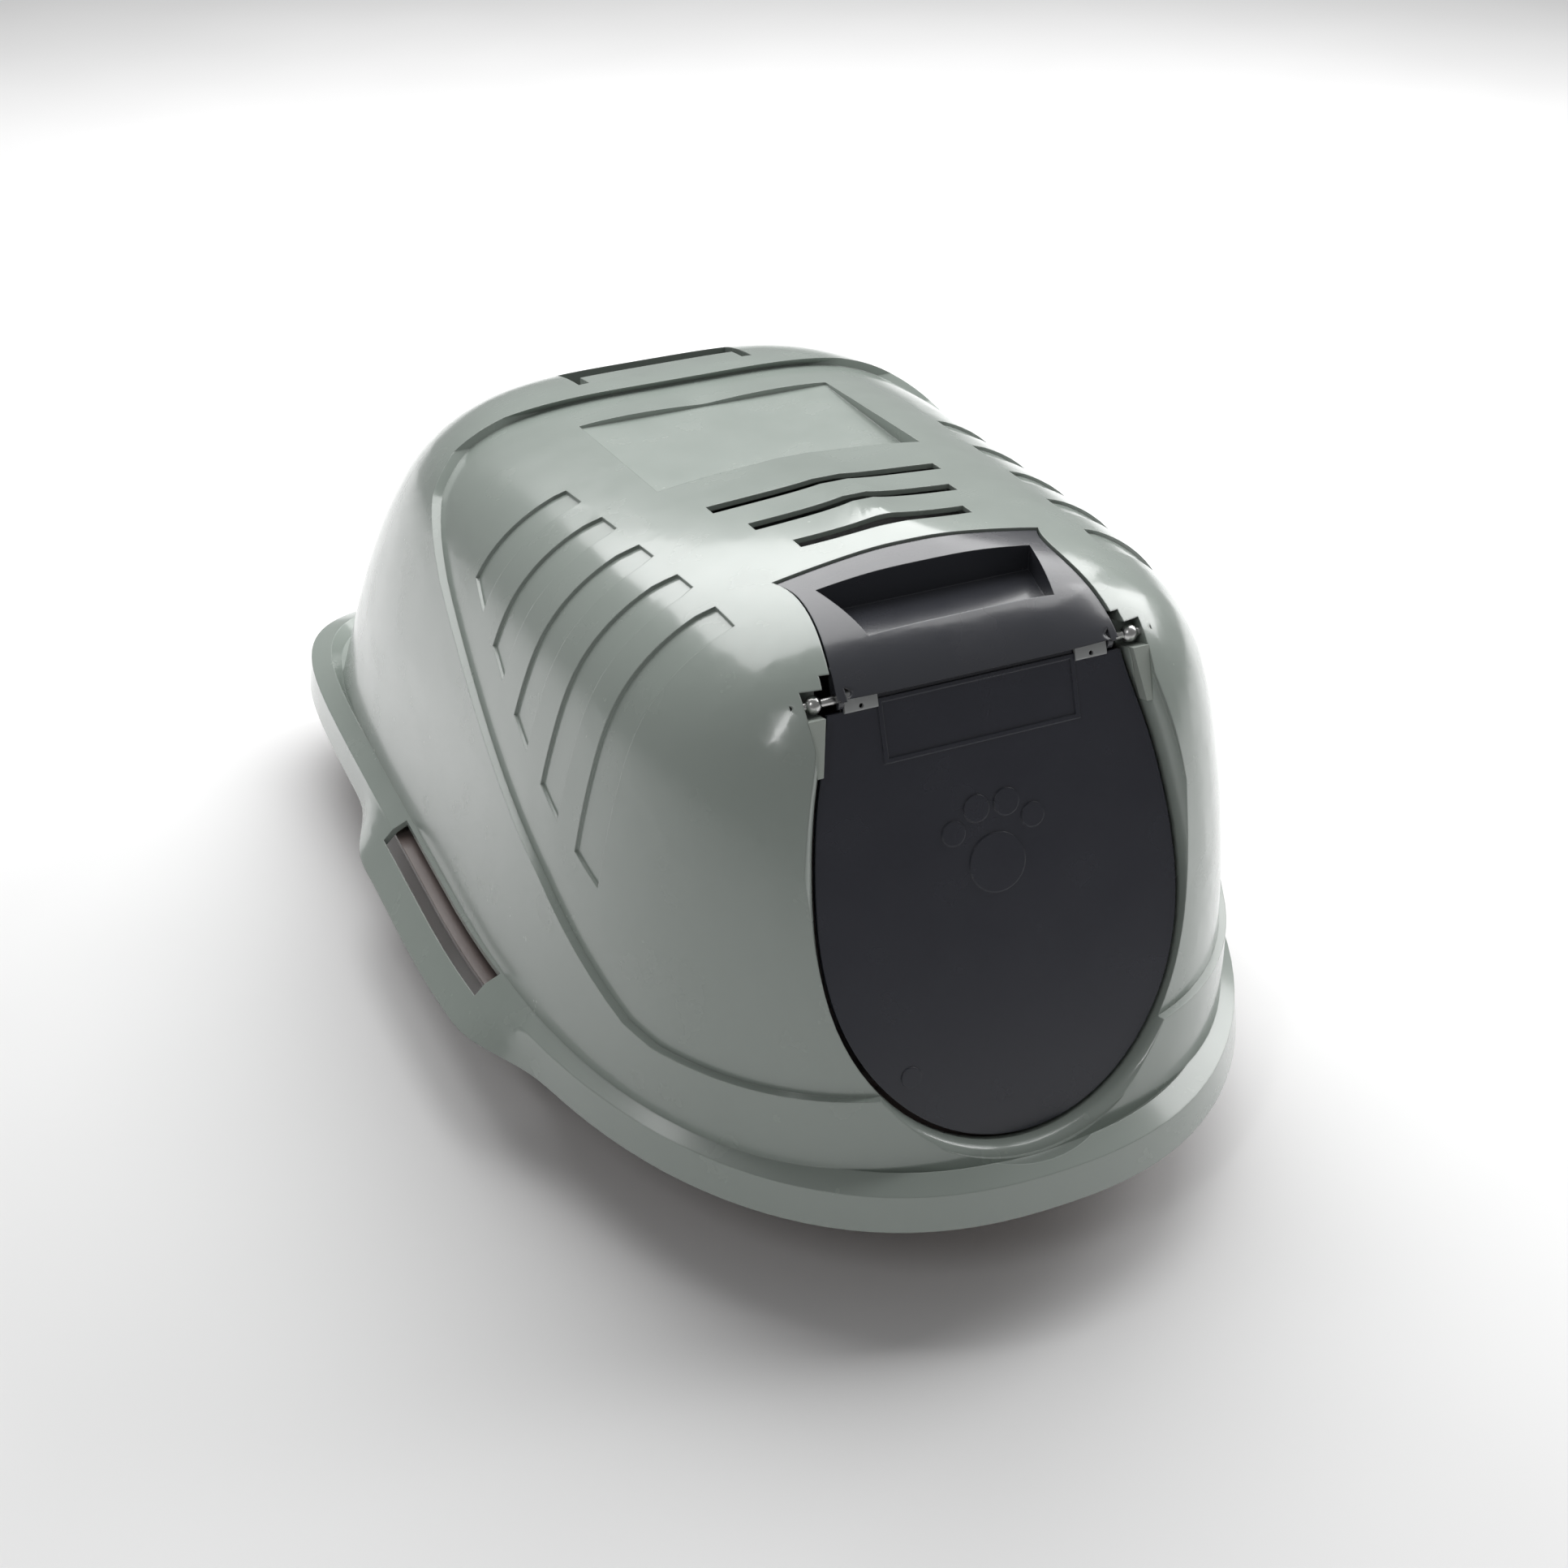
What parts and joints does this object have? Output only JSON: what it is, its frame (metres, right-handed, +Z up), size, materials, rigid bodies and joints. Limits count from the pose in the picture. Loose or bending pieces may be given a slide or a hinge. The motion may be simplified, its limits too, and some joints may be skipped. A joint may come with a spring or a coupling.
{
  "type": "hooded cat litter box",
  "caption": "Hooded cat litter box: stepped hood with side grips, roof vents, lift-off smoked visor and pin-hung smoked flap over a lift-out pan.",
  "frame": {"origin": "bottom centre of the overall box, on the floor", "axes": "+X to the right seen from the front, -Y out of the entry, +Z up"},
  "size_m": [0.4374, 0.655, 0.321],
  "materials": {
    "pan_plastic": "satin moulded",
    "hood_plastic": "glossy moulded sage green",
    "smoked_plastic": "smoked, polished",
    "arm_plastic": "satin grey",
    "pin_steel": "bright",
    "keeper_plastic": "satin light green",
    "holder_plastic": "satin",
    "carbon_felt": "felt pad"
  },
  "bodies": {
    "pan": {"base_pan": "pan_plastic"},
    "hood": {"hood_shell": "hood_plastic", "pin_keeper_left": "keeper_plastic", "pin_keeper_right": "keeper_plastic", "filter_holder": "holder_plastic", "carbon_filter": "carbon_felt"},
    "flap": {"entry_flap": "smoked_plastic", "hinge_arm_left": "arm_plastic", "hinge_arm_right": "arm_plastic", "hinge_pin_left": "pin_steel", "hinge_pin_right": "pin_steel"},
    "visor": {"front_visor": "smoked_plastic"}
  },
  "joints": [
    {"name": "hood_lift", "type": "slide", "parent": "pan", "child": "hood", "axis": [0, 0, 1], "range_m": [0, 0.2]},
    {"name": "flap_swing", "type": "hinge", "parent": "hood", "child": "flap", "pos_m": [0, -0.224, 0.288], "axis": [-1, 0, 0], "range_deg": [0, 75]},
    {"name": "visor_lift", "type": "slide", "parent": "hood", "child": "visor", "axis": [0, 0, 1], "range_m": [0, 0.045]}
  ]
}
